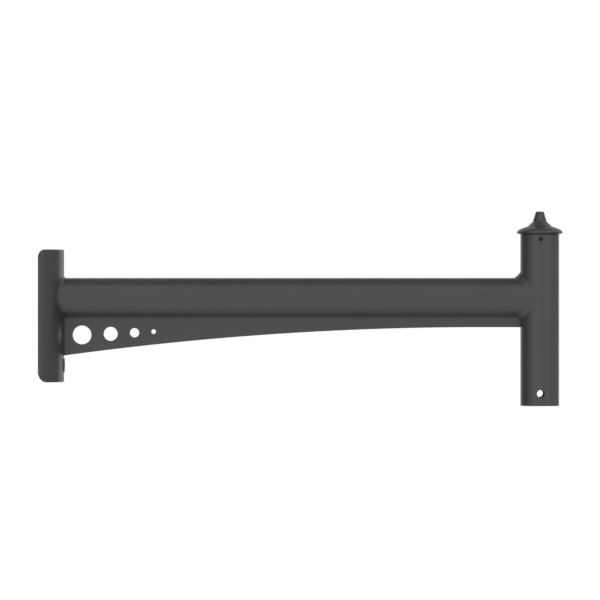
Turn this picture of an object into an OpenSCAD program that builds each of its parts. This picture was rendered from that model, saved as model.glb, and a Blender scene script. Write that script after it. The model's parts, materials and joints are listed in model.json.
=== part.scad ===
// Pole mounting bracket: a horizontal tube arm, welded at one end to a rolled saddle
// that sits against a round pole, and at the other end to a short vertical tube that
// takes a lantern from below and a turned finial on top. A tapering web plate with four
// holes, each smaller than the last, stiffens the arm from below.
//
// Frame: the origin is on the pole's axis at the height of the arm's axis, +X runs
// along the arm away from the pole, +Z is up. Sizes are millimetres and degrees.

/* [Pole saddle] */
// Radius of the saddle's inner face, which is that of the pole
pole_r = 57; // [45:0.5:80]
// Thickness of the saddle plate
saddle_t = 5; // [4:0.5:8]
// Angle that the saddle wraps to each side of the arm
saddle_half_angle = 65; // [56:1:80]
// Height of the saddle above the arm's axis
saddle_rise = 74; // [64:1:110]
// Depth of the saddle below the arm's axis
saddle_drop = 131; // [124:1:180]
// Corner radius at the top of the saddle
saddle_top_corner_r = 12; // [4:0.5:20]
// Corner radius at the bottom of the saddle
saddle_bottom_corner_r = 16; // [4:0.5:20]

/* [Pole fixings] */
// Hole for the upper fixing bolt
bolt_hole_d = 13; // [9:0.5:15]
// Height of the upper fixing bolt above the arm's axis
bolt_hole_z = 52; // [46:0.5:56]
// Depth of the threaded bush below the arm's axis
bush_z = 105; // [103:0.5:112]
// Flange of the threaded bush
bush_flange_d = 22; // [19:0.5:24]
// Amount by which the flange stands proud of the saddle
bush_proud = 1; // [0.6:0.1:3]
// Body of the threaded bush, pressed into the saddle
bush_body_d = 16; // [14:0.5:18]
// Core hole of the bush's thread
bush_core_d = 10.2; // [6:0.1:11]
// Distance that the bush's inner end keeps back from the pole
bush_setback = 0.5; // [0.2:0.1:1.5]

/* [Arm] */
// Distance from the pole's axis to the lantern tube's axis
reach = 800; // [500:10:1500]
// Outer diameter of the arm tube
arm_d = 60.3; // [48.3:0.1:60.3]
// Wall of the arm tube
arm_wall = 2.9; // [2:0.1:5]
// Cable hole through the saddle, behind the arm
saddle_cable_hole_d = 30; // [16:1:40]

/* [Web plate] */
// Thickness of the web plate
web_t = 6; // [4:0.5:10]
// Depth of the web below the arm at the saddle
web_depth_saddle = 60; // [54:0.5:64]
// Depth of the web below the arm at the lantern tube
web_depth_post = 16; // [14:0.5:24]
// Length of the web's straight part, measured from the lantern tube's axis
web_straight = 92; // [60:1:200]
// Distance of the largest hole's centre from the pole's axis
web_hole_x = 90; // [86:1:110]
// Depth of the largest hole's centre below the arm
web_hole_depth = 28; // [25:0.5:30]
// Diameter of the largest hole
web_hole_d = 29; // [20:0.5:32]
// Step down in diameter from each hole to the next
web_hole_step = 7.3; // [4:0.1:7.6]
// Number of holes
web_hole_n = 4; // [1:1:4]
// Rise of each hole's centre over the one before it
web_hole_rise = 1.7; // [0:0.1:2]
// Pitch from the largest hole to the next
web_hole_pitch = 44.4; // [36:0.1:60]
// Change of that pitch from one hole to the next
web_pitch_step = 7.4; // [4:0.1:8]

/* [Lantern tube] */
// Outer diameter of the lantern tube
post_d = 60.3; // [60.3:0.1:76.1]
// Wall of the lantern tube
post_wall = 2.9; // [2:0.1:5]
// Height of the lantern tube above the arm's axis
post_rise = 97.5; // [84:0.5:140]
// Depth of the lantern tube below the arm's axis
post_drop = 168; // [120:0.5:260]
// Hole through both walls for the lantern's securing bolt
cross_hole_d = 12; // [6:0.5:16]
// Height of that hole over the tube's lower end
cross_hole_up = 19; // [14:0.5:40]
// Cable hole from the arm into the lantern tube
post_cable_hole_d = 30; // [16:1:40]

/* [Finial] */
// Diameter of the finial's rim
rim_d = 71.6; // [68:0.1:90]
// Height of the rim's widest line over the tube's end
rim_up = 3; // [2:0.1:4]
// Edge round of the rim, below its widest line
rim_edge_r = 0.6; // [0.3:0.1:1]
// Height where the shoulder meets the flare
shoulder_up = 12.6; // [10:0.1:20]
// Radius where the shoulder meets the flare
shoulder_r = 19; // [15:0.1:24]
// Slope of the shoulder where it leaves the flare
shoulder_slope = 16; // [8:1:24]
// Height where the flare meets the stem
stem_up = 20; // [17:0.1:26]
// Radius of the stem's foot
stem_foot_r = 10.9; // [8:0.1:13]
// Radius of the stem's top
stem_top_r = 6.1; // [4:0.1:7.5]
// Height of the whole finial over the tube's end
finial_up = 35.6; // [30:0.1:60]
// Edge round of the stem's top
stem_edge_r = 1; // [0.5:0.1:2]
// Length of the finial's spigot inside the tube
spigot_len = 25; // [16:0.5:34]
// Wall of the spigot
spigot_wall = 4; // [3:0.1:8]
// Radial clearance of the spigot in the tube
spigot_clearance = 0.1; // [0.05:0.01:0.3]

/* [Set screw] */
// Thread diameter of the set screw that holds the finial
screw_d = 6; // [4:0.5:8]
// Depth of the screw below the lantern tube's end
screw_down = 7.5; // [6:0.5:9]
// Radial clearance round the screw
screw_clearance = 0.1; // [0.05:0.01:0.2]
// Amount by which the screw lies below the tube's face
screw_sunk = 0.8; // [0.3:0.1:1.5]
// Depth of the flat seat that the screw bites into the spigot
screw_seat = 1; // [0.6:0.1:2]
// Hexagon socket, across its flats
socket_af = 3; // [1.5:0.1:3.2]
// Depth of the hexagon socket
socket_deep = 1.8; // [1:0.1:2.2]

/* [Welds] */
// Leg of the large fillet between the arm and the lantern tube
tee_leg = 9.7; // [5:0.1:12]
// Hollow of that fillet's face above the arm, as a share of its leg
tee_hollow_top = 0.05; // [0:0.01:0.15]
// Hollow of that fillet's face below the arm, as a share of its leg
tee_hollow_bottom = 0.16; // [0:0.01:0.18]
// Leg of the fillet round the arm at the saddle
saddle_leg = 2.2; // [1.5:0.1:4]
// Leg of the fillets on both sides of the web
web_leg = 2; // [1.5:0.1:3]

/* [Hidden] */

coat = "#4c4d4f";
screw_colour = "#2a2a2b";
bead_colour = "#505153";

saddle_r = pole_r + saddle_t;
arm_r = arm_d / 2;
post_r = post_d / 2;
arm_bore_r = arm_r - arm_wall;
post_bore_r = post_r - post_wall;
over = 2;         // how far a cutter runs past what it cuts
round_fn = 360;   // facets of the large round surfaces
hole_fn = 96;     // facets of the holes
web_arc_steps = 72;
saddle_bead_steps = 72;
shoulder_steps = 10;
corner_bite = 0.005; // share of its radius by which a corner's round runs past an edge

// The arm's end on the lantern tube thins to nothing at its two sides. It is cut off
// square where it is this far from that tube's axis.
ear_cut = 3;

// Where the arm's side meets the saddle, measured along X
arm_start = sqrt(saddle_r * saddle_r - arm_r * arm_r);

web_top = -arm_r;
web_foot_saddle = web_top - web_depth_saddle;
web_foot_post = web_top - web_depth_post;
web_tangent_x = reach - web_straight;
web_run = web_tangent_x - saddle_r;
web_fall = web_depth_saddle - web_depth_post;
web_arc_r = (web_run * web_run + web_fall * web_fall) / (2 * web_fall);
web_arc_c = [web_tangent_x, web_foot_post - web_arc_r];
web_arc_angle = asin((web_run + saddle_t) / web_arc_r);

spigot_r = post_bore_r - spigot_clearance;
screw_z = post_rise - screw_down;
screw_tip_y = spigot_r - screw_seat;
screw_len = post_r - screw_sunk - screw_tip_y;

// Angle round the tubes at which the large fillet ends, from the top of the arm
tee_end_angle = 80;
tee_steps = 32;   // rings from one side to the other
face_steps = 6;   // points across the fillet's face
face_over = 0.2;  // share of its width by which that face runs on into each tube
tee_sink = 1 / 6; // share of its leg by which the fillet's root lies inside both tubes

// Points of an arc about c, from angle a0 to a1 in n steps
function arc(c, r, a0, a1, n) = [
    for (i = [0 : n]) let (a = a0 + (a1 - a0) * i / n) c + r * [cos(a), sin(a)]
];

// A tube or rod along X from x0 to x1
module x_rod(r, x0, x1, fn = round_fn) {
    translate([x0, 0, 0]) rotate([0, 90, 0]) cylinder(r = r, h = x1 - x0, $fn = fn);
}

// A rod along Y from y0 to y1 through the point (x, z)
module y_rod(r, x, z, y0, y1, fn = hole_fn) {
    translate([x, y1, z]) rotate([90, 0, 0]) cylinder(r = r, h = y1 - y0, $fn = fn);
}

// The full solid of each round part, for others to be fitted against
module saddle_solid() {
    translate([0, 0, -saddle_drop - over])
        cylinder(r = saddle_r, h = saddle_rise + saddle_drop + 2 * over, $fn = round_fn);
}
module arm_solid() {
    x_rod(arm_r, 0, reach);
}
module lantern_tube_solid() {
    translate([reach, 0, -post_drop - over])
        cylinder(r = post_r, h = post_rise + post_drop + 2 * over, $fn = round_fn);
}

// Joins rings of points into a closed skin. Every ring has as many points, in one turning
// sense. With closed, the last ring joins the first, and without it both ends are capped.
module skin(rings, closed = false) {
    n = len(rings[0]);
    m = len(rings);
    last = closed ? m : m - 1;
    sides = [
        for (i = [0 : last - 1], j = [0 : n - 1])
            let (a = i * n + j, b = i * n + (j + 1) % n,
                 c = ((i + 1) % m) * n + (j + 1) % n, d = ((i + 1) % m) * n + j)
            each [[a, c, b], [a, d, c]]
    ];
    caps = closed ? [] : [
        [for (j = [0 : n - 1]) j],
        [for (j = [n - 1 : -1 : 0]) (m - 1) * n + j]
    ];
    polyhedron(points = [for (ring = rings) each ring], faces = concat(sides, caps), convexity = 6);
}

// Cuts one rounded corner of the saddle. side is 1 or -1 round the pole, end is 1 at the top
// and -1 at the bottom. The corner's round is measured along the curved plate, and it meets
// the plate's two edges at a slight angle, as a ground corner does.
module saddle_corner(side, end, r) {
    reach_in = r * (1 - corner_bite);
    centre_angle = side * (saddle_half_angle - asin(reach_in / saddle_r));
    edge_z = end > 0 ? saddle_rise : -saddle_drop;
    rotate([0, 0, centre_angle])
        translate([pole_r - over, 0, edge_z - end * reach_in])
            rotate([90, 0, 90])
                linear_extrude(saddle_t + 2 * over)
                    difference() {
                        scale([side, end]) square(r + over);
                        circle(r = r, $fn = hole_fn);
                    }
}

// Rolled plate: part of a ring round the pole, with its four corners rounded
module saddle_plate() {
    color(coat)
        difference() {
            rotate([0, 0, -saddle_half_angle])
                rotate_extrude(angle = 2 * saddle_half_angle, $fn = round_fn)
                    translate([pole_r, -saddle_drop]) square([saddle_t, saddle_rise + saddle_drop]);
            for (side = [-1, 1]) {
                saddle_corner(side, 1, saddle_top_corner_r);
                saddle_corner(side, -1, saddle_bottom_corner_r);
            }
            x_rod(saddle_cable_hole_d / 2, 0, saddle_r + over, hole_fn);
            translate([0, 0, bolt_hole_z]) x_rod(bolt_hole_d / 2, 0, saddle_r + over, hole_fn);
            translate([0, 0, -bush_z]) x_rod(bush_body_d / 2, 0, saddle_r + over, hole_fn);
        }
}

// Bush with a thin round flange, pressed into the saddle from outside and threaded through
module threaded_bush() {
    color(coat)
        translate([0, 0, -bush_z])
            difference() {
                union() {
                    x_rod(bush_body_d / 2, pole_r + bush_setback, saddle_r, hole_fn);
                    difference() {
                        x_rod(bush_flange_d / 2, pole_r + saddle_t / 2, saddle_r + bush_proud, hole_fn);
                        translate([0, 0, bush_z]) saddle_solid();
                    }
                }
                x_rod(bush_core_d / 2, 0, saddle_r + bush_proud + over, hole_fn);
            }
}

// Tube coped at both ends: to the saddle's outer face and to the lantern tube
module arm_tube() {
    color(coat)
        difference() {
            x_rod(arm_r, arm_start - over, reach - ear_cut);
            x_rod(arm_bore_r, 0, reach);
            saddle_solid();
            lantern_tube_solid();
        }
}

// Centre and radius of each hole in the web, as [x, z, r]. The pitch shrinks by one step
// from hole to hole.
function web_hole(i) = [
    web_hole_x + i * web_hole_pitch - web_pitch_step * i * (i - 1) / 2,
    web_top - web_hole_depth + i * web_hole_rise,
    (web_hole_d - i * web_hole_step) / 2
];

// Flat plate whose lower edge is one long arc that runs into a straight line
module web_plate() {
    color(coat)
        difference() {
            translate([0, web_t / 2, 0]) rotate([90, 0, 0]) linear_extrude(web_t)
                polygon(concat(
                    [[arm_start, web_top + arm_wall], [reach, web_top + arm_wall], [reach, web_foot_post]],
                    arc(web_arc_c, web_arc_r, 90, 90 + web_arc_angle, web_arc_steps)
                ));
            for (i = [0 : web_hole_n - 1])
                y_rod(web_hole(i)[2], web_hole(i)[0], web_hole(i)[1], -web_t, web_t);
            arm_solid();
            saddle_solid();
            lantern_tube_solid();
        }
}

// Upright tube, open at the bottom, with its cross hole, cable hole and screw hole
module lantern_tube() {
    color(coat)
        difference() {
            translate([reach, 0, -post_drop])
                cylinder(r = post_r, h = post_drop + post_rise, $fn = round_fn);
            translate([reach, 0, -post_drop - over])
                cylinder(r = post_bore_r, h = post_drop + post_rise + 2 * over, $fn = round_fn);
            y_rod(cross_hole_d / 2, reach, -post_drop + cross_hole_up, -post_r - over, post_r + over);
            x_rod(post_cable_hole_d / 2, reach - post_r - over, reach, hole_fn);
            y_rod(screw_d / 2 + screw_clearance, reach, screw_z, -post_r - over, 0);
        }
}

// A point t of the way along the quadratic curve from a to b, which c pulls towards itself
function curve_point(a, c, b, t) = (1 - t) * (1 - t) * a + 2 * t * (1 - t) * c + t * t * b;

// Right half of the finial's section, from the stem's top down to the rim and in below it, where
// a cone runs down to the tube's outer edge
function finial_outline() =
    let (
        rim_r = rim_d / 2,
        taper = atan2(stem_foot_r - stem_top_r, finial_up - stem_up),
        edge_c = [stem_top_r - stem_edge_r, finial_up - stem_edge_r],
        shoulder = [shoulder_r, shoulder_up],
        widest = [rim_r, rim_up],
        pull = [rim_r, shoulder_up - (rim_r - shoulder_r) * tan(shoulder_slope)],
        tip_c = [rim_r - rim_edge_r, rim_up],
        seat = [post_r, 0],
        lean = atan2(tip_c.y - seat.y, tip_c.x - seat.x) - asin(rim_edge_r / norm(tip_c - seat))
    )
    concat(
        [[0, finial_up]],
        arc(edge_c, stem_edge_r, 90, taper, 6),
        [[stem_foot_r, stem_up]],
        [for (i = [0 : shoulder_steps]) curve_point(shoulder, pull, widest, i / shoulder_steps)],
        arc(tip_c, rim_edge_r, -15, lean - 90, 3),
        [seat]
    );

// Turned cap: stem, flare, shoulder and rim above the tube, and a hollow spigot inside it
module finial_cap() {
    color(coat)
        difference() {
            translate([reach, 0, post_rise])
                rotate_extrude($fn = round_fn)
                    polygon(concat(finial_outline(), [
                        [spigot_r, 0], [spigot_r, -spigot_len],
                        [spigot_r - spigot_wall, -spigot_len], [spigot_r - spigot_wall, 0],
                        [0, spigot_wall]
                    ]));
            y_rod(screw_d / 2 + screw_clearance, reach, screw_z, -post_r, -screw_tip_y);
        }
}

// Headless screw with a hexagon socket, from the tube's face to its seat in the spigot
module finial_set_screw() {
    socket_r = socket_af / 2 / cos(30);
    color(screw_colour)
        difference() {
            y_rod(screw_d / 2, reach, screw_z, -screw_tip_y - screw_len, -screw_tip_y);
            y_rod(socket_r, reach, screw_z, -post_r, -screw_tip_y - screw_len + socket_deep, 6);
        }
}

// One ring of the bead round the arm at the saddle, at angle a from the top of the arm. Its
// face runs between the two toes and on into both parts, which then cut it to fit.
function saddle_bead_ring(a) =
    let (
        along = function(r) sqrt(saddle_r * saddle_r - pow(r * sin(a), 2)),
        at = function(x, r) [x, r * sin(a), r * cos(a)],
        sink = saddle_leg / 2
    )
    [
        at(along(arm_r) - sink, arm_r - sink),
        at(along(arm_r) + saddle_leg + sink, arm_r - sink),
        at(along(arm_r + saddle_leg) - sink, arm_r + saddle_leg + sink)
    ];

// Fillet all round the arm where it meets the saddle
module weld_arm_to_saddle() {
    n = saddle_bead_steps;
    color(bead_colour)
        difference() {
            skin([for (i = [0 : n - 1]) saddle_bead_ring(-360 * i / n)], closed = true);
            arm_solid();
            saddle_solid();
            web_slab();
        }
}

// The space that the web plate fills, for the beads that it interrupts
module web_slab() {
    translate([0, -web_t / 2, -post_drop]) cube([reach, web_t, post_drop - arm_r / 2]);
}

// One ring of the large fillet, in the plane at angle a round the arm. up is 1 above the arm
// and -1 below it. The legs shrink towards the sides, where the two tubes run together.
function tee_ring(a, up, hollow) =
    let (
        y = arm_r * sin(a),
        z = arm_r * cos(a),
        x = reach - sqrt(post_r * post_r - y * y),
        leg = tee_leg * cos(a),
        sink = leg * tee_sink
    )
    concat(
        [[x + sink, y, up * (z - sink)]],
        [for (i = [0 : face_steps])
            let (
                t = -face_over + (1 + 2 * face_over) * i / face_steps,
                bow = 4 * t * (1 - t) * hollow * leg
            )
            [x - leg * (1 - t) + bow, y, up * (z + leg * t - bow)]]
    );

// Large fillet above and below the arm, which fades out at its sides
module weld_arm_to_lantern_tube() {
    lobe = function(up, hollow) [
        for (i = [0 : tee_steps])
            tee_ring(-up * tee_end_angle * (1 - 2 * i / tee_steps), up, hollow)
    ];
    color(bead_colour)
        difference() {
            union() {
                skin(lobe(1, tee_hollow_top));
                skin(lobe(-1, tee_hollow_bottom));
            }
            arm_solid();
            lantern_tube_solid();
            web_slab();
        }
}

// Section of a fillet on the web's side: the web's face is the line y = web_t / 2, and the
// other part lies below v = 0. It runs on into both, which then cut it to fit.
module web_fillet_section() {
    polygon([
        [web_t / 2, -web_leg], [web_t / 2, web_leg],
        [web_t / 2 + web_leg, 0], [web_t / 2 + 2 * web_leg, -web_leg]
    ]);
}

// Puts a copy on each side of the web
module both_sides() {
    children();
    mirror([0, 1, 0]) children();
}

// Fillets along the arm, from the bead at the saddle to the large fillet
module weld_web_to_arm() {
    x0 = saddle_r + saddle_leg;
    x1 = reach - post_r - tee_leg;
    color(bead_colour)
        difference() {
            both_sides()
                translate([x0, 0, web_top])
                    rotate([0, 90, 0])
                        linear_extrude(x1 - x0) rotate(90) mirror([0, 1]) web_fillet_section();
            arm_solid();
        }
}

// Fillets up the saddle
module weld_web_to_saddle() {
    z1 = web_top - web_leg - saddle_leg;
    color(bead_colour)
        difference() {
            both_sides()
                translate([saddle_r, 0, web_foot_saddle])
                    linear_extrude(z1 - web_foot_saddle) rotate(-90) mirror([1, 0]) web_fillet_section();
            saddle_solid();
        }
}

// Fillets up the lantern tube
module weld_web_to_lantern_tube() {
    z1 = web_top - tee_leg;
    color(bead_colour)
        difference() {
            both_sides()
                translate([reach - post_r, 0, web_foot_post])
                    linear_extrude(z1 - web_foot_post) rotate(90) web_fillet_section();
            lantern_tube_solid();
        }
}

saddle_plate();
threaded_bush();
arm_tube();
web_plate();
lantern_tube();
finial_cap();
finial_set_screw();
weld_arm_to_saddle();
weld_arm_to_lantern_tube();
weld_web_to_arm();
weld_web_to_saddle();
weld_web_to_lantern_tube();
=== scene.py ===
"""Pole mounting bracket: fine form, powder coat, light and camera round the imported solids.

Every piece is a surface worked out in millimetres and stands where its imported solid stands. What
it adds to that solid is broken edges, weld ripples and a cut thread.
"""

import json
from math import cos, pi, radians, sin, sqrt, tan

import bpy
import numpy as np
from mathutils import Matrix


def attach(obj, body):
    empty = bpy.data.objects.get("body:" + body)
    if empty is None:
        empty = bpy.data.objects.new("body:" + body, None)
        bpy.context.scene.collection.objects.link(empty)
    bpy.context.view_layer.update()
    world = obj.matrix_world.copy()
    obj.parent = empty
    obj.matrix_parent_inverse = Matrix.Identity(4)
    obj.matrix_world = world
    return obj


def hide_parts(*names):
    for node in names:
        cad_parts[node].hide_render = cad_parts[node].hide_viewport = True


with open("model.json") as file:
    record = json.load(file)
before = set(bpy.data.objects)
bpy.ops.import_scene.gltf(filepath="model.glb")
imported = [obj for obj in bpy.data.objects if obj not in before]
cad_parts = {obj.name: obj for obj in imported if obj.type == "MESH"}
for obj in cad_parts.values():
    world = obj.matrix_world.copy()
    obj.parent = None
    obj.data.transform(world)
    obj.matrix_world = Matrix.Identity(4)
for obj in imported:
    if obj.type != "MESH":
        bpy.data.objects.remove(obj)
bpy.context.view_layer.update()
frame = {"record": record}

# Units
MM = 0.001
WELD_GAP = 0.001  # points closer than this, in millimetres, are one point

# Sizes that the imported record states
mounts = {m["name"]: m for m in frame["record"]["mounts"]}


def mount_size(name, key):
    """A dimension of a mount, in millimetres."""
    return mounts[name]["dims"][key]


def mount_place(name):
    """A mount's point, in millimetres."""
    return np.array(mounts[name]["pos_m"]) / MM


pole_r = mount_size("pole_saddle", "r_mm")
bolt_r = mount_size("pole_bolt_hole", "r_mm")
bolt_z = mount_place("pole_bolt_hole")[2]
core_r = mount_size("bush_thread", "r_mm")
bush_z = mount_place("bush_thread")[2]
cross_r = mount_size("cross_bolt", "r_mm")
cross_z = mount_place("cross_bolt")[2]
reach = mount_place("cross_bolt")[0]

# Sizes of the parts, in millimetres
saddle_t = 5.0
saddle_wrap = radians(65)
saddle_top = 74.0
saddle_bottom = -131.0
saddle_corner_top = 12.0
saddle_corner_bottom = 16.0
saddle_r = pole_r + saddle_t

tube_r = 60.3 / 2
tube_wall = 2.9
bore_r = tube_r - tube_wall
cable_hole_r = 15.0
ear_cut = 3.0
tube_top = 97.5
tube_bottom = -168.0

web_t = 6.0
web_depth_saddle = 60.0
web_depth_tube = 16.0
web_straight = 92.0
web_hole_depth = 28.0
web_hole_x = 90.0
web_hole_r = 14.5
web_hole_shrink = 3.65
web_hole_rise = 1.7
web_hole_pitch = 44.4
web_pitch_step = 7.4
web_hole_count = 4
web_hole_margin = 3.6

screw_r = 3.0
screw_clearance = 0.1
screw_z = tube_top - 7.5
screw_sunk = 0.8
screw_seat = 1.0
socket_flats = 3.0
socket_deep = 1.8

spigot_clearance = 0.1
spigot_wall = 4.0
spigot_len = 25.0
spigot_r = bore_r - spigot_clearance
rim_r = 35.8
rim_up = 3.0
rim_edge = 0.6
shoulder_up = 12.6
shoulder_r = 19.0
shoulder_slope = radians(16)
stem_up = 20.0
stem_foot_r = 10.9
stem_top_r = 6.1
finial_up = 35.6

bush_body_r = 8.0
bush_flange_r = 11.0
bush_proud = 1.0
bush_setback = 0.5
thread_pitch = 1.75
thread_depth = 0.9

tee_leg = 9.7
tee_hollow_top = 0.05
tee_hollow_bottom = 0.16
saddle_leg = 2.2
web_leg = 2.0

# Edge rounds: what the coat leaves on a cut or sawn edge
plate_edge = 0.8
hole_edge = 0.5
tube_edge = 0.7

# Beads: pitch and height of their scales. The real pitch is about 1.2, and is drawn wider to show.
SCALE_PITCH = 2.4
SCALE_HIGH = 0.12
SCALE_STEPS = 6
TOE_SHARE = 0.2  # share of the large fillet's face over which each toe turns into its tube
BUSH_STEPS = 96


def unit(v):
    """Vectors scaled to length one."""
    return v / np.linalg.norm(v, axis=-1, keepdims=True)


class Skin:
    """The surface of one piece, collected patch by patch as points with outward normals."""

    def __init__(self):
        self.points, self.normals, self.triangles, self.count = [], [], [], 0

    def add(self, points, normals, closed=False):
        """A patch points[i, j]. Each cell becomes two triangles that face along the normals. With
        closed, the last column joins the first."""
        rows, columns = points.shape[:2]
        index = np.arange(rows * columns).reshape(rows, columns)
        if closed:
            index = np.hstack([index, index[:, :1]])
        a, b, c, d = index[:-1, :-1], index[1:, :-1], index[1:, 1:], index[:-1, 1:]
        cells = [np.stack(corners, -1).reshape(-1, 3) for corners in ((a, b, c), (a, c, d))]
        triangles = np.concatenate(cells)
        flat = points.reshape(-1, 3)
        facing = np.broadcast_to(normals, points.shape).reshape(-1, 3)
        corner = flat[triangles]
        turned = np.cross(corner[:, 1] - corner[:, 0], corner[:, 2] - corner[:, 0])
        wrong = (turned * facing[triangles].sum(1)).sum(1) < 0
        triangles[wrong] = triangles[wrong][:, ::-1]
        self.points.append(flat)
        self.normals.append(facing)
        self.triangles.append(triangles + self.count)
        self.count += len(flat)

    def build(self, name, finish, slot, *nodes):
        """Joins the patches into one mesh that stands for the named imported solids."""
        points = np.concatenate(self.points)
        normals = np.concatenate(self.normals)
        triangles = np.concatenate(self.triangles)
        cell = np.floor(points / WELD_GAP + 1 / pi)
        _, first, where = np.unique(cell, axis=0, return_index=True, return_inverse=True)
        welded = where.ravel()[triangles]
        whole = (welded != np.roll(welded, 1, axis=1)).all(axis=1)
        mesh = bpy.data.meshes.new(name)
        mesh.from_pydata(points[first] * MM, [], welded[whole])
        mesh.shade_smooth()
        mesh.normals_split_custom_set(normals[triangles[whole]].reshape(-1, 3))
        mesh.materials.append(finish)
        piece = bpy.data.objects.new(name, mesh)
        bpy.context.scene.collection.objects.link(piece)
        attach(piece, "root")
        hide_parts(*nodes)
        return piece


def slopes(points, outward, closed=False):
    """Normals of a patch by the cross product of its central differences along both ways, turned
    to the side that outward points to."""
    along = np.gradient(points, axis=0)
    if closed:
        across = np.roll(points, -1, axis=1) - np.roll(points, 1, axis=1)
    else:
        across = np.gradient(points, axis=1)
    normals = np.cross(along, across)
    side = np.sign((normals * outward).sum(-1, keepdims=True))
    side[side == 0] = 1
    length = np.linalg.norm(normals, axis=-1, keepdims=True)
    return np.where(length > 1e-12, side * normals / np.maximum(length, 1e-12), unit(outward))


class RoundWall:
    """A rolled or drawn wall: x = cx + (r - depth) cos(u + facing), y = (r - depth) sin(u + facing),
    z = v. u is an angle, and depth counts inwards from the outer face."""

    def __init__(self, centre_x, radius, thickness, facing):
        self.centre_x, self.radius, self.thickness, self.facing = centre_x, radius, thickness, facing

    def place(self, uv, depth):
        angle, r = uv[..., 0] + self.facing, self.radius - depth
        return np.stack([self.centre_x + r * np.cos(angle), r * np.sin(angle), uv[..., 1]], -1)

    def normal(self, uv):
        angle = uv[..., 0] + self.facing
        return np.stack([np.cos(angle), np.sin(angle), np.zeros_like(angle)], -1)

    def across(self, width, depth):
        """Angle that a width seen along a drill spans on the wall."""
        return np.arcsin(width / (self.radius - depth))


class FlatWall:
    """A flat wall square to Y: x = u, y = depth - t / 2, z = v."""

    def __init__(self, thickness):
        self.thickness = thickness

    def place(self, uv, depth):
        y = np.full(uv.shape[:-1], depth - self.thickness / 2)
        return np.stack([uv[..., 0], y, uv[..., 1]], -1)

    def normal(self, uv):
        return np.broadcast_to(np.array([0.0, -1.0, 0.0]), uv.shape[:-1] + (3,))

    def across(self, width, depth):
        return width


def stations(stops, steps):
    """Even stations between stops, as one list."""
    runs = [np.linspace(a, b, n, endpoint=False) for a, b, n in zip(stops, stops[1:], steps)]
    return np.concatenate(runs + [stops[-1:]])


def drilled(chart, hole, nu, nv):
    """Stations round a drilled hole, one for each station round its cell. Gives them as a function
    of how far they stand back from the hole and of the depth."""
    u, v, radius = hole
    sides = [(-135, nu), (-45, nv), (45, nu), (135, nv)]
    turn = np.radians(np.concatenate([np.linspace(a, a + 90, n, endpoint=False) for a, n in sides]))

    def loop(inset, depth):
        wide, high = (radius + inset) * np.cos(turn), (radius + inset) * np.sin(turn)
        return np.stack([u + chart.across(wide, depth), v + high], -1)

    return loop


# Stations of an edge's quarter round, and rows of the ring round a hole, closest at the hole
EDGE_TURN = np.linspace(0, pi / 2, 5)[:, None, None]
RING_SHARE = np.linspace(0, 1, 7)[:, None, None] ** 1.5


def edge_band(skin, chart, loop, inset, side):
    """A wall's cut edge: a quarter round, the cut face and a second quarter round. A point of a
    round is p + (1 - sin a) (q - p) + (1 - cos a) e, where p is the sharp corner, q lies inset
    on the face and e is as long as the inset and runs along the cut. side is 1 where the
    material lies left of the loop."""
    t = chart.thickness
    corner = [chart.place(loop(0, depth), depth) for depth in (0, t)]
    along = unit(corner[1] - corner[0]) * inset
    points, normals = [], []
    for depth, p, way in ((0, corner[0], 1), (t, corner[1], -1)):
        uv = loop(inset, depth)
        q, n = chart.place(uv, depth), chart.normal(uv)
        ahead = np.roll(q, -1, axis=0) - np.roll(q, 1, axis=0)
        inwards = side * unit(np.cross(n, ahead))
        ease = 1 - np.cos(EDGE_TURN)
        points.append((p + (1 - np.sin(EDGE_TURN)) * (q - p) + way * ease * along)[::way])
        normals.append((np.cos(EDGE_TURN) * way * n - np.sin(EDGE_TURN) * inwards)[::way])
    skin.add(np.concatenate(points), np.concatenate(normals), closed=True)


def wall(skin, chart, u_stops, u_steps, v_stops, v_steps, outline, inset, holes):
    """Both faces of a wall, in cells between stops. A cell with a hole is a ring: each station
    moves straight from the hole to the cell's side. outline(uv, inset) bends the chart's
    rectangle to the real outline, which stands back by inset on the faces."""
    for depth, way in ((0, 1), (chart.thickness, -1)):
        for i, (u0, u1, nu) in enumerate(zip(u_stops, u_stops[1:], u_steps)):
            for j, (v0, v1, nv) in enumerate(zip(v_stops, v_stops[1:], v_steps)):
                u, v = np.linspace(u0, u1, nu + 1), np.linspace(v0, v1, nv + 1)
                if (i, j) in holes:
                    rim = outline(frame_of(u, v), inset)
                    loop = drilled(chart, holes[i, j], nu, nv)(hole_edge, depth)
                    uv = loop + RING_SHARE * (rim - loop)
                else:
                    uv = outline(np.stack(np.meshgrid(u, v, indexing="ij"), -1), inset)
                skin.add(chart.place(uv, depth), way * chart.normal(uv), closed=(i, j) in holes)
    for (i, j), hole in holes.items():
        edge_band(skin, chart, drilled(chart, hole, u_steps[i], v_steps[j]), hole_edge, -1)


def frame_of(u, v):
    """Stations once round a chart's rectangle, counter-clockwise from its lower left corner."""
    low, high = np.full(len(u) - 1, v[0]), np.full(len(u) - 1, v[-1])
    left, right = np.full(len(v) - 1, u[0]), np.full(len(v) - 1, u[-1])
    us = np.concatenate([u[:-1], right, u[:0:-1], left])
    vs = np.concatenate([low, v[:-1], high, v[:0:-1]])
    return np.stack([us, vs], -1)


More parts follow.
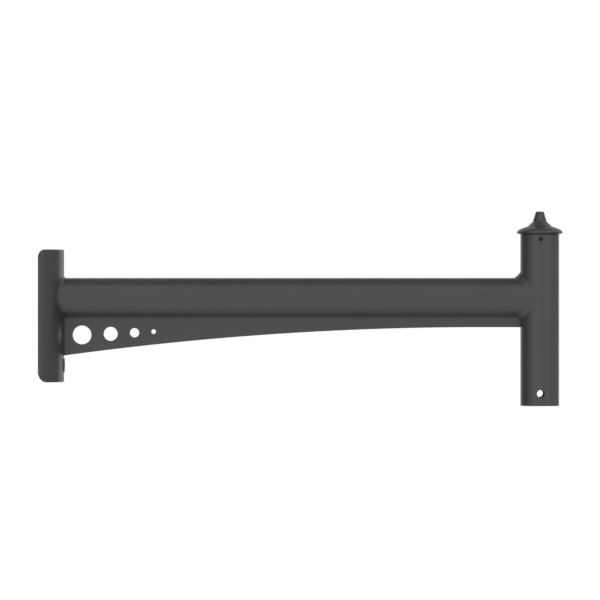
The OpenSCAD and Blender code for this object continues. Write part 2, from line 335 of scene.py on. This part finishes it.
def eased(corners, steps=8):
    """An open outline with eased corners, the material on its right. A row gives a corner's two
    coordinates, how far before and after it the easing reaches, and a weight w. From point a
    to point b the easing is ((1 - t)^2 a + 2 w t (1 - t) corner + t^2 b) over the sum of the
    factors. A weight of 0 stands for the cosine of half the turn, which between equal reaches
    draws a circle's arc. Gives the points and their normals."""
    rows = np.array(corners, float)
    corner = rows[:, :2]
    run = unit(np.diff(corner, axis=0))
    before, after = np.vstack([run[:1], run]), np.vstack([run, run[-1:]])
    half_turn = np.sqrt((1 + (before * after).sum(1)) / 2)
    w = np.where(rows[:, 4] > 0, rows[:, 4], half_turn)[:, None]
    t = np.linspace(0, 1, steps + 1)[:, None, None]
    p, q, s = (1 - t) ** 2, t * (1 - t), t**2
    back, on = before * rows[:, 2:3], after * rows[:, 3:4]
    points = corner + (s * on - p * back) / (p + 2 * w * q + s)
    back, on = back + before * 1e-9, on + after * 1e-9
    heading = unit(w * p * back + q * (back + on) + w * s * on)
    normals = np.stack([-heading[..., 1], heading[..., 0]], -1)
    return points.swapaxes(0, 1).reshape(-1, 2), normals.swapaxes(0, 1).reshape(-1, 2)


def spun(skin, section, base, steps, shift):
    """Turns a section of radius and height once round an axis through base: the point at turn a is
    (r cos a, r sin a, h), with its coordinates moved on by shift, so 0 is round Z and 1 round X."""
    turn = np.linspace(0, 2 * pi, steps, endpoint=False)

    def place(v):
        r, h = v[:, :1], v[:, 1:]
        upright = np.stack([r * np.cos(turn), r * np.sin(turn), h + 0 * turn], -1)
        return np.roll(upright, shift, axis=-1)

    points, normals = section
    skin.add(base + place(points), place(normals), closed=True)


def srgb(code):
    """A hex colour as linear red, green, blue and alpha."""
    c = np.array([int(code[i : i + 2], 16) / 255 for i in (1, 3, 5)])
    linear = np.where(c <= 0.04045, c / 12.92, ((c + 0.055) / 1.055) ** 2.4)
    return (*linear, 1.0)


def add_node(tree, kind, settings=None, **links):
    """Adds a node with its settings, and links or sets its inputs by name."""
    node = tree.nodes.new(kind)
    for key, value in (settings or {}).items():
        setattr(node, key, value)
    for key, value in links.items():
        socket = node.inputs[key.replace("_", " ")]
        if isinstance(value, bpy.types.NodeSocket):
            tree.links.new(value, socket)
        else:
            socket.default_value = value
    return node


def maths(tree, operation, *values):
    """A maths node on sockets or numbers, as its output."""
    node = add_node(tree, "ShaderNodeMath", {"operation": operation})
    for socket, value in zip(node.inputs, values):
        if isinstance(value, bpy.types.NodeSocket):
            tree.links.new(value, socket)
        else:
            socket.default_value = value
    return node.outputs["Value"]


def turned_to(tree, way, middle):
    """The cosine of the angle between a direction and a fixed one."""
    node = add_node(tree, "ShaderNodeVectorMath", {"operation": "DOT_PRODUCT"})
    tree.links.new(way, node.inputs[0])
    node.inputs[1].default_value = middle
    return node.outputs["Value"]


def empty_material(name):
    """A material with only an output, and that output."""
    material = bpy.data.materials.new(name)
    material.use_nodes = True
    material.node_tree.nodes.clear()
    return material, material.node_tree, add_node(material.node_tree, "ShaderNodeOutputMaterial")


# Powder coat
COAT_DARK, COAT_LIGHT = "#393939", "#3e3e3e"
COAT_ROUGH = 0.32
COAT_ROUGH_SPREAD = 0.02
COAT_IOR = 1.5  # polyester
PEEL_MM = 3.0  # the real peel is 1 to 2 mm from crest to crest, and is drawn coarser to show
PEEL_HIGH_MM = 0.03
PEEL_STRENGTH = 0.35
CLOUD_MM = 60.0  # from one darker patch of the coat to the next

# Blackened screw
BLACK_STEEL = "#2e2e2f"
BLACK_ROUGH = 0.38
GRAIN_MM = 0.4
GRAIN_HIGH_MM = 0.01
GRAIN_STRENGTH = 0.2


def powder_coat():
    """Polyester powder coat, sprayed dry and baked on blasted steel. It melts to a semi-matt skin
    that hides the metal's grain and keeps a faint, slow waviness, the orange peel."""
    material, tree, out = empty_material("polyester_powder_coat")
    place = add_node(tree, "ShaderNodeTexCoord").outputs["Object"]
    peel = add_node(tree, "ShaderNodeTexNoise", Vector=place, Scale=1 / (PEEL_MM * MM), Detail=2.0)
    cloud = add_node(tree, "ShaderNodeTexNoise", Vector=place, Scale=1 / (CLOUD_MM * MM), Detail=3.0)
    tint = add_node(tree, "ShaderNodeMix", {"data_type": "RGBA"}, Factor=cloud.outputs["Fac"])
    tint.inputs["A"].default_value = srgb(COAT_DARK)
    tint.inputs["B"].default_value = srgb(COAT_LIGHT)
    tint_socket = next(s for s in tint.outputs if s.type == "RGBA")
    gloss = add_node(
        tree, "ShaderNodeMapRange", Value=cloud.outputs["Fac"],
        To_Min=COAT_ROUGH - COAT_ROUGH_SPREAD, To_Max=COAT_ROUGH + COAT_ROUGH_SPREAD,
    )
    bump = add_node(
        tree, "ShaderNodeBump", Strength=PEEL_STRENGTH, Distance=PEEL_HIGH_MM * MM,
        Height=peel.outputs["Fac"],
    )
    skin = add_node(
        tree, "ShaderNodeBsdfPrincipled", Base_Color=tint_socket, Roughness=gloss.outputs["Result"],
        IOR=COAT_IOR, Normal=bump.outputs["Normal"],
    )
    tree.links.new(skin.outputs["BSDF"], out.inputs["Surface"])
    return material


def blackened_steel():
    """Alloy steel screw, hardened and blackened in hot oil: a dark metal with a dull grey sheen."""
    material, tree, out = empty_material("oil_blackened_steel")
    place = add_node(tree, "ShaderNodeTexCoord").outputs["Object"]
    grain = add_node(tree, "ShaderNodeTexNoise", Vector=place, Scale=1 / (GRAIN_MM * MM), Detail=2.0)
    bump = add_node(
        tree, "ShaderNodeBump", Strength=GRAIN_STRENGTH, Distance=GRAIN_HIGH_MM * MM,
        Height=grain.outputs["Fac"],
    )
    skin = add_node(
        tree, "ShaderNodeBsdfPrincipled", Base_Color=srgb(BLACK_STEEL), Metallic=1.0,
        Roughness=BLACK_ROUGH, Normal=bump.outputs["Normal"],
    )
    tree.links.new(skin.outputs["BSDF"], out.inputs["Surface"])
    return material


coat = powder_coat()
black = blackened_steel()
COAT_SLOT, SCREW_SLOT = "powder_coat", "blackened_steel"


def saddle_outline(uv, inset):
    """The saddle's rectangle drawn in by inset, with four round corners. In a corner's square, with
    s and t from 0 to 1 towards the corner, the point moves to s sqrt(1 - t^2 / 2) and
    t sqrt(1 - s^2 / 2), which bends the square's two outer sides to one quarter circle."""
    middle = (saddle_top + saddle_bottom) / 2
    half = (saddle_top - saddle_bottom) / 2
    wide = saddle_r * saddle_wrap
    side = np.sign(uv[..., 0])
    end = np.sign(uv[..., 1] - middle)
    a = (wide - np.abs(uv[..., 0]) * saddle_r) * (wide - inset) / wide
    b = (half - np.abs(uv[..., 1] - middle)) * (half - inset) / half
    r = np.where(end > 0, saddle_corner_top, saddle_corner_bottom) - inset
    s, t = 1 - a / r, 1 - b / r
    corner = (s > 0) & (t > 0)
    s, t = np.where(corner, s, 0), np.where(corner, t, 0)
    a = np.where(corner, r * (1 - s * np.sqrt(1 - t * t / 2)), a)
    b = np.where(corner, r * (1 - t * np.sqrt(1 - s * s / 2)), b)
    return np.stack([side * (wide - inset - a) / saddle_r, middle + end * (half - inset - b)], -1)


def pole_saddle():
    """Rolled plate against the pole, drilled for the cable, the upper bolt and the bush."""
    chart = RoundWall(0, saddle_r, saddle_t, 0)
    near_hole, past_hole = 0.33, 0.45  # turns where the holes' cells end, and the cells beside them
    corner = saddle_wrap - saddle_corner_bottom / saddle_r
    bush_cell, bolt_cell = (bush_z - 10, bush_z + 14), (bolt_z - 12, bolt_z + 10)
    cable_cell = (-26, 26)
    u_stops = [-saddle_wrap, -corner, -past_hole, -near_hole, near_hole, past_hole, corner, saddle_wrap]
    u_steps = [8, 8, 4, 16, 4, 8, 8]
    v_stops = [saddle_bottom, *bush_cell, *cable_cell, *bolt_cell, saddle_top]
    v_steps = [8, 8, 10, 12, 4, 8, 8]
    holes = {
        (3, 1): (0, bush_z, bush_body_r),
        (3, 3): (0, 0, cable_hole_r),
        (3, 5): (0, bolt_z, bolt_r),
    }
    skin = Skin()
    wall(skin, chart, u_stops, u_steps, v_stops, v_steps, saddle_outline, plate_edge, holes)
    border = frame_of(stations(u_stops, u_steps), stations(v_stops, v_steps))
    edge_band(skin, chart, lambda inset, depth: saddle_outline(border, inset), plate_edge, 1)
    skin.build("pole_saddle", coat, COAT_SLOT, "saddle_plate")


def pole_bush():
    """Bush with a thin flange, spun round X. The flange's rim runs back to the saddle, which lies at
    x = sqrt(R^2 - y^2). The thread is a triangle wave of x / pitch - a / 2 pi cut into the bore,
    and a cone opens it at both ends."""
    base = np.array([0, 0, bush_z])
    front, back = saddle_r + bush_proud, pole_r + bush_setback
    mouth = core_r + thread_depth + 0.3
    body_edge, flange_edge, hidden = 0.3, 0.4, 1.0
    turn = np.linspace(0, 2 * pi, BUSH_STEPS, endpoint=False)

    def rings(radius, x):
        return base + np.stack([x, radius * np.cos(turn), radius * np.sin(turn)], -1)

    def on_saddle(radius):
        return np.sqrt(saddle_r**2 - (radius * np.cos(turn)) ** 2)

    skin = Skin()
    face = [
        (mouth, front, 0, 0, 0),
        (bush_flange_r, front, flange_edge, flange_edge, 0),
        (bush_flange_r, saddle_r, 0, 0, 0),
    ]
    body = [
        (bush_body_r, saddle_r - hidden, 0, 0, 0),
        (bush_body_r, back, body_edge, body_edge, 0),
        (mouth, back, 0, 0, 0),
    ]
    spun(skin, eased(face), base, BUSH_STEPS, 1)
    spun(skin, eased(body), base, BUSH_STEPS, 1)
    wide, narrow = np.full(BUSH_STEPS, bush_flange_r), np.full(BUSH_STEPS, bush_body_r)
    flat = np.full(BUSH_STEPS, saddle_r)
    outwards = np.stack([0 * turn, np.cos(turn), np.sin(turn)], -1)
    foot = rings(wide, on_saddle(bush_flange_r))
    root = rings(narrow, on_saddle(bush_body_r))
    skin.add(np.stack([rings(wide, flat), foot]), outwards, closed=True)
    skin.add(np.stack([foot, root]), np.array([-1.0, 0, 0]), closed=True)
    skin.add(np.stack([root, rings(narrow, flat - hidden)]), outwards, closed=True)
    x = np.linspace(back, front, 64)[:, None]
    wave = np.abs(2 * ((x / thread_pitch - turn / (2 * pi)) % 1) - 1)
    cone = mouth - np.minimum(x - back, front - x)
    bore = rings(np.maximum(core_r + thread_depth * wave, cone), x + 0 * turn)
    skin.add(bore, slopes(bore, -outwards, closed=True), closed=True)
    skin.build("pole_bush", coat, COAT_SLOT, "threaded_bush")


def round_arm():
    """Straight tube between two copes: at turn a its side runs from the saddle, where
    x = sqrt(R^2 - (r sin a)^2), to the lantern tube, where x = reach - sqrt(R^2 - (r sin a)^2)."""
    turn = np.linspace(0, 2 * pi, 144, endpoint=False)
    outwards = np.stack([0 * turn, np.sin(turn), np.cos(turn)], -1)

    def side(r, share):
        y, z = r * np.sin(turn), r * np.cos(turn)
        start = np.sqrt(saddle_r**2 - y**2)
        stop = np.minimum(reach - np.sqrt(np.maximum(tube_r**2 - y**2, 0)), reach - ear_cut)
        return np.stack(np.broadcast_arrays(start + share * (stop - start), y, z), -1)

    skin = Skin()
    share = np.linspace(0, 1, 41)[:, None]
    skin.add(side(tube_r, share), outwards, closed=True)
    skin.add(side(bore_r, share), -outwards, closed=True)
    for end, way in ((0, -1.0), (1, 1.0)):
        skin.add(np.stack([side(tube_r, end), side(bore_r, end)]), np.array([way, 0, 0]), closed=True)
    skin.build("round_arm", coat, COAT_SLOT, "arm_tube")


def web_outline(uv, inset):
    """Stretches heights from -1 to 0 over the web's depth at x. Its lower edge is a circle's arc up
    to where the straight part starts."""
    run, fall = reach - web_straight - saddle_r, web_depth_saddle - web_depth_tube
    arc_r = (run**2 + fall**2) / (2 * fall)
    left = np.maximum(reach - web_straight - uv[..., 0], 0)
    low = -tube_r - web_depth_tube - arc_r + np.sqrt(arc_r**2 - left**2) + inset
    top = -sqrt(tube_r**2 - web_t**2 / 4)
    return np.stack([uv[..., 0], top + uv[..., 1] * (top - low)], -1)


def stiffening_web():
    """Flat plate below the arm with a row of holes, each smaller than the one before."""
    chart = FlatWall(web_t)
    start = sqrt(saddle_r**2 - web_t**2 / 4)
    stop = reach - sqrt(tube_r**2 - web_t**2 / 4)
    holes, u_stops, u_steps = {}, [start], []
    for i in range(web_hole_count):
        x = web_hole_x + web_hole_pitch * i - web_pitch_step * i * (i - 1) / 2
        z = -tube_r - web_hole_depth + web_hole_rise * i
        r = web_hole_r - web_hole_shrink * i
        holes[2 * i + 1, 0] = (x, z, r)
        u_stops += [x - r - web_hole_margin, x + r + web_hole_margin]
        u_steps += [4, 16]
    u_stops += [reach - web_straight, stop]
    u_steps += [60, 4]
    skin = Skin()
    wall(skin, chart, u_stops, u_steps, [-1, 0], [16], web_outline, plate_edge, holes)
    border = frame_of(stations(u_stops, u_steps), stations([-1, 0], [16]))
    edge_band(skin, chart, lambda inset, depth: web_outline(border, inset), plate_edge, 1)
    skin.build("stiffening_web", coat, COAT_SLOT, "web_plate")


def lantern_post():
    """Upright tube, open below, with its cross hole, its cable hole and its screw hole."""
    chart = RoundWall(reach, tube_r, tube_wall, -pi / 2)
    u_stops = np.radians([-25, 25, 155, 205, 230, 310, 335])
    u_steps = [20, 36, 20, 8, 24, 8]
    v_stops = [tube_bottom, cross_z - 11, cross_z + 11, -22, 22, screw_z - 6, screw_z + 6, tube_top]
    v_steps = [2, 12, 12, 16, 8, 8, 1]
    holes = {
        (0, 1): (0, cross_z, cross_r),
        (2, 1): (pi, cross_z, cross_r),
        (4, 3): (1.5 * pi, 0, cable_hole_r),
        (0, 5): (0, screw_z, screw_r + screw_clearance),
    }

    def outline(uv, inset):
        height = np.clip(uv[..., 1], tube_bottom + inset, tube_top - inset)
        return np.stack([uv[..., 0], height], -1)

    skin = Skin()
    wall(skin, chart, u_stops, u_steps, v_stops, v_steps, outline, tube_edge, holes)
    round_u = stations(u_stops, u_steps)[:-1]
    for end, side in ((tube_bottom, 1), (tube_top, -1)):
        ring = np.stack([round_u, np.full_like(round_u, end)], -1)
        edge_band(skin, chart, lambda inset, depth: outline(ring, inset), tube_edge, side)
    skin.build("lantern_post", coat, COAT_SLOT, "lantern_tube")


def turned_finial():
    """Turned cap: one section spun round the lantern tube's axis. Its flare is the quadratic curve
    from the shoulder to the rim that is pulled by the point where their tangents cross. Below
    the rim a cone runs in to the tube's edge."""
    inner_r = spigot_r - spigot_wall
    pull_z = shoulder_up - (rim_r - shoulder_r) * tan(shoulder_slope)
    flare_run = sqrt((rim_r - shoulder_r) ** 2 + (shoulder_up - pull_z) ** 2)
    crease, lip, broad = 0.6, 0.2, 1.0
    section = [
        (0, finial_up, 0, 0, 0),
        (stem_top_r, finial_up, broad, broad, 0),
        (stem_foot_r, stem_up, crease, crease, 0),
        (shoulder_r, shoulder_up, crease, crease, 0),
        (rim_r, pull_z, flare_run - crease, pull_z - rim_up, 1),
        (rim_r, rim_up - rim_edge, rim_edge, rim_edge, 0),
        (tube_r, 0, lip, lip, 0),
        (spigot_r, 0, lip, lip, 0),
        (spigot_r, -spigot_len, crease, crease, 0),
        (inner_r, -spigot_len, crease, crease, 0),
        (inner_r, 0, broad, broad, 0),
        (0, spigot_wall, 0, 0, 0),
    ]
    skin = Skin()
    spun(skin, eased(section), np.array([reach, 0, tube_top]), 160, 0)
    skin.build("turned_finial", coat, COAT_SLOT, "finial_cap")


def set_screw():
    """Headless screw: six sectors, each a row of rings from the socket's bottom, up its flat wall,
    over the face and down the outside. A flat at turn a is half the width over cos a away."""
    face, tip = tube_r - screw_sunk, spigot_r - screw_seat
    chamfer, socket_lip, drill_point = 0.4, 0.2, 0.4
    side = np.radians(np.linspace(-30, 30, 9))
    flat = socket_flats / 2 / np.cos(side)
    full = np.ones_like(side)
    rings = [
        (0 * full, face - socket_deep - drill_point),
        (flat, face - socket_deep),
        (flat, face - socket_lip),
        (flat + socket_lip, face),
        ((screw_r - chamfer) * full, face),
        (screw_r * full, face - chamfer),
        (screw_r * full, tip + chamfer),
        ((screw_r - chamfer) * full, tip),
        (0 * full, tip),
    ]
    skin = Skin()
    for sector in range(6):
        turn = side + sector * pi / 3
        for (r0, h0), (r1, h1) in zip(rings, rings[1:]):
            radii, heights = np.stack([r0, r1]), np.array([[h0], [h1]]) + 0 * side
            x, z = reach + radii * np.cos(turn), screw_z + radii * np.sin(turn)
            points = np.stack([x, -heights, z], -1)
            out, up = h0 - h1, (r1 - r0).mean()
            facing = np.stack([out * np.cos(turn), -up + 0 * turn, out * np.sin(turn)], -1)
            skin.add(points, slopes(points, np.stack([facing, facing])))
    skin.build("set_screw", black, SCREW_SLOT, "finial_set_screw")


def ripple(run, t):
    """Height of a bead's scales over its face, from 0 to 1: a wave along the run, whose crests bow
    back at the toes, and which fades out there."""
    crest = run / SCALE_PITCH + 0.5 * (2 * t - 1) ** 2
    return 4 * t * (1 - t) * (0.5 + 0.5 * np.cos(2 * pi * crest))


def large_fillet():
    """Fillet above and below the arm at the lantern tube. At turn a its section lies in the plane
    y = r sin a, and its legs are the full leg times cos a, so it dies out where the tubes run
    together. Its face is hollow by a share of the leg, and its toes are dressed flush."""
    turn = np.linspace(-pi / 2, pi / 2, 97)[:, None]
    t = np.linspace(0, 1, 17)
    y, z, leg = tube_r * np.sin(turn), tube_r * np.cos(turn), tee_leg * np.cos(turn)
    x = reach - tube_r * np.cos(turn)
    skin = Skin()
    for up, hollow in ((1, tee_hollow_top), (-1, tee_hollow_bottom)):
        bow = 4 * t * (1 - t) * hollow * leg
        face = np.stack([x - leg * (1 - t) + bow, y + 0 * t, up * (z + leg * t - bow)], -1)
        sunk = leg / 6
        root = np.stack([x + sunk, y, up * (z - sunk)], -1)
        out = np.array([-1.0, 0, up])
        arm_side = np.stack([0 * turn, np.sin(turn), up * np.cos(turn)], -1)
        tube_side = np.stack([-np.cos(turn), np.sin(turn), 0 * turn], -1)
        low = np.clip(1 - t / TOE_SHARE, 0, 1)[:, None]
        high = np.clip(1 - (1 - t) / TOE_SHARE, 0, 1)[:, None]
        normals = unit((1 - low - high) * slopes(face, out) + low * arm_side + high * tube_side)
        skin.add(face, normals)
        skin.add(np.concatenate([face[:, :1], root], 1), -arm_side)
        skin.add(np.concatenate([root, face[:, -1:]], 1), -tube_side)
    skin.build("large_fillet", coat, COAT_SLOT, "weld_arm_to_lantern_tube")


def saddle_bead():
    """Bead all round the arm. At turn a its face runs from the arm, one leg out from the saddle, to
    the saddle, one leg out from the arm."""
    turn = np.linspace(0, 2 * pi, 480, endpoint=False)[:, None]
    t = np.linspace(0, 1, 9)

    def on_saddle(r):
        return np.sqrt(saddle_r**2 - (r * np.sin(turn)) ** 2)

    rise = ripple(turn * tube_r, t) * SCALE_HIGH
    x = (on_saddle(tube_r) + saddle_leg) * (1 - t) + on_saddle(tube_r + saddle_leg) * t + rise
    r = tube_r + saddle_leg * t + rise
    face = np.stack([x, r * np.sin(turn), r * np.cos(turn)], -1)
    sunk = saddle_leg / 2
    low = tube_r - sunk
    root = np.stack([on_saddle(tube_r) - sunk, low * np.sin(turn), low * np.cos(turn)], -1)
    out = np.stack([1 + 0 * turn, np.sin(turn), np.cos(turn)], -1)
    skin = Skin()
    for patch, facing in (
        (face, out),
        (np.concatenate([face[:, :1], root], 1), -out),
        (np.concatenate([root, face[:, -1:]], 1), -out),
    ):
        patch, facing = patch.swapaxes(0, 1), facing.swapaxes(0, 1)
        skin.add(patch, slopes(patch, facing, closed=True), closed=True)
    skin.build("saddle_bead", coat, COAT_SLOT, "weld_arm_to_saddle")


def web_beads(name, node, start, stop, radius, place):
    """Beads on both sides of the web, along a round part of that radius. The face is the straight
    line from one leg out on the web to where it meets the round part at 45 degrees, and the
    section shrinks to a point at both ends. place turns run, distance from the round part's
    axis and y into x, y and z."""
    steps = int((stop - start) / SCALE_PITCH * SCALE_STEPS)
    run = np.linspace(start, stop, steps + 1)[:, None]
    t = np.linspace(0, 1, 7)
    full = np.sqrt(1 - np.clip(1 - np.minimum(run - start, stop - run) / web_leg, 0, 1) ** 2)
    line = radius + web_leg + web_t / 2
    toe_y = (line - sqrt(2 * radius**2 - line**2)) / 2
    sunk_y, sunk_r = 0.3, 0.6
    root_y, root_r = web_t / 2 - sunk_y, radius - sunk_r
    rise = ripple(run, t) * SCALE_HIGH
    face_y = web_t / 2 + (toe_y - web_t / 2) * t + rise
    face_r = radius + web_leg - (toe_y - web_t / 2) * t + rise
    y = root_y + (face_y - root_y) * full
    r = root_r + (face_r - root_r) * full
    skin = Skin()
    for side in (-1, 1):
        face = place(run + 0 * t, r, side * y)
        root = place(run, root_r + 0 * run, side * root_y + 0 * run)
        out = place(0 * run, 1 + 0 * run, side + 0 * run) - place(0 * run, 0 * run, 0 * run)
        skin.add(face, slopes(face, out))
        skin.add(np.concatenate([face[:, :1], root], 1), -out)
        skin.add(np.concatenate([root, face[:, -1:]], 1), -out)
    skin.build(name, coat, COAT_SLOT, node)


pole_saddle()
pole_bush()
round_arm()
stiffening_web()
lantern_post()
turned_finial()
set_screw()
large_fillet()
saddle_bead()
web_foot = -tube_r - web_depth_saddle
web_beads(
    "web_to_arm_beads", "weld_web_to_arm", saddle_r + saddle_leg, reach - tube_r - tee_leg, tube_r,
    lambda run, r, y: np.stack(np.broadcast_arrays(run, y, -r), -1),
)
web_beads(
    "web_to_saddle_beads", "weld_web_to_saddle", web_foot, -tube_r - saddle_leg, saddle_r,
    lambda run, r, y: np.stack(np.broadcast_arrays(r, y, run), -1),
)
web_beads(
    "web_to_post_beads", "weld_web_to_lantern_tube",
    -tube_r - web_depth_tube, -tube_r - tee_leg + 1, tube_r,
    lambda run, r, y: np.stack(np.broadcast_arrays(reach - r, y, run), -1),
)

# Floor, light and camera. All coordinates are metres from here on.
WHITE = (1, 1, 1, 1)
FLOOR_HEIGHT = -0.6
FLOOR_HALF = 30


def studio_floor(height):
    """Pale floor. The eye sees it as an evenly lit white sheet, and it throws no light back."""
    half = FLOOR_HALF
    mesh = bpy.data.meshes.new("floor")
    corners = [(x, y, height) for x, y in ((-half, -half), (half, -half), (half, half), (-half, half))]
    mesh.from_pydata(corners, [], [(0, 1, 2, 3)])
    material, tree, out = empty_material("white_studio_floor")
    sheet = add_node(tree, "ShaderNodeEmission", Color=WHITE, Strength=1.0)
    tree.links.new(sheet.outputs["Emission"], out.inputs["Surface"])
    mesh.materials.append(material)
    floor = bpy.data.objects.new("floor", mesh)
    bpy.context.scene.collection.objects.link(floor)
    floor.visible_diffuse = floor.visible_glossy = floor.visible_shadow = False


# The room's light: an even level, and soft glows. Each has a turn from the front to the right and a
# rise above level, in degrees, a tightness, and a brightness at its middle.
ROOM_LEVEL = 0.05
GLOWS = {
    "front wall": (-15, 15, 2, 0.78),
    "front left strip": (-30, 0, 4, 0.40),
    "right strip": (45, 0, 12, 1.17),
    "high right lamp": (105, 45, 12, 1.30),
    "ceiling lamp": (0, 60, 12, 0.88),
    "low lamp": (-30, -60, 4, 1.05),
    "wall behind": (180, 0, 8, 0.70),
    "back right strip": (150, 15, 12, 0.60),
    "back left strip": (215, 0, 12, 0.55),
    "back left lamp": (215, 40, 12, 0.75),
}
# Soft boxes round the lantern tube: turn, rise and power in watts
SOFTBOXES = {
    "high softbox": (50, 35, 1.6),
    "front softbox": (75, 0, 0.8),
    "side softbox": (100, 0, 1.2),
    "back softbox": (155, 0, 1.6),
}
SOFTBOX_FAR = 1.3
SOFTBOX_SIDE = 0.8

# The eye stands level, square to the web and far away, so the bracket shows almost no perspective.
EYE_PLACE = (0.428, -6.98, -0.004)
LENS_MM = 270
SENSOR_MM = 36


def towards(turn, rise):
    """The direction at a turn from the front to the right and a rise above level, in degrees."""
    turn, rise = radians(turn), radians(rise)
    return np.array([sin(turn) * cos(rise), -cos(turn) * cos(rise), sin(rise)])


def softbox(name, turn, rise, power):
    """A square soft light that looks at the lantern tube, and which the eye doesn't see."""
    light = bpy.data.lights.new(name, "AREA")
    light.shape, light.size, light.energy = "SQUARE", SOFTBOX_SIDE, power
    box = bpy.data.objects.new(name, light)
    bpy.context.scene.collection.objects.link(box)
    box.location = np.array([reach * MM, 0, 0]) + SOFTBOX_FAR * towards(turn, rise)
    box.rotation_euler = (pi / 2 - radians(rise), 0, radians(turn))
    box.visible_camera = False


def studio_room():
    """Light from all round. A glow falls off as the cosine of the angle to its middle, to the power
    of its tightness. The eye sees the room as white, whatever it throws on the object."""
    world = bpy.data.worlds.new("studio_room")
    world.use_nodes = True
    tree = world.node_tree
    tree.nodes.clear()
    out = add_node(tree, "ShaderNodeOutputWorld")
    way = add_node(tree, "ShaderNodeTexCoord").outputs["Generated"]
    level = ROOM_LEVEL
    for turn, rise, tightness, brightness in GLOWS.values():
        near = maths(tree, "MAXIMUM", turned_to(tree, way, towards(turn, rise)), 0.0)
        level = maths(tree, "MULTIPLY_ADD", maths(tree, "POWER", near, tightness), brightness, level)
    seen = add_node(tree, "ShaderNodeLightPath").outputs["Is Camera Ray"]
    either = add_node(tree, "ShaderNodeMapRange", Value=seen, To_Min=level, To_Max=1.0)
    room = add_node(tree, "ShaderNodeBackground", Color=WHITE, Strength=either.outputs["Result"])
    tree.links.new(room.outputs["Background"], out.inputs["Surface"])
    bpy.context.scene.world = world


studio_floor(FLOOR_HEIGHT)
studio_room()
for name, setting in SOFTBOXES.items():
    softbox(name, *setting)

camera = bpy.data.objects.new("camera", bpy.data.cameras.new("camera"))
bpy.context.scene.collection.objects.link(camera)
camera.location = EYE_PLACE
camera.rotation_euler = (pi / 2, 0, 0)
camera.data.lens = LENS_MM
camera.data.sensor_width = SENSOR_MM
bpy.context.scene.camera = camera
bpy.context.scene.view_settings.view_transform = "Standard"
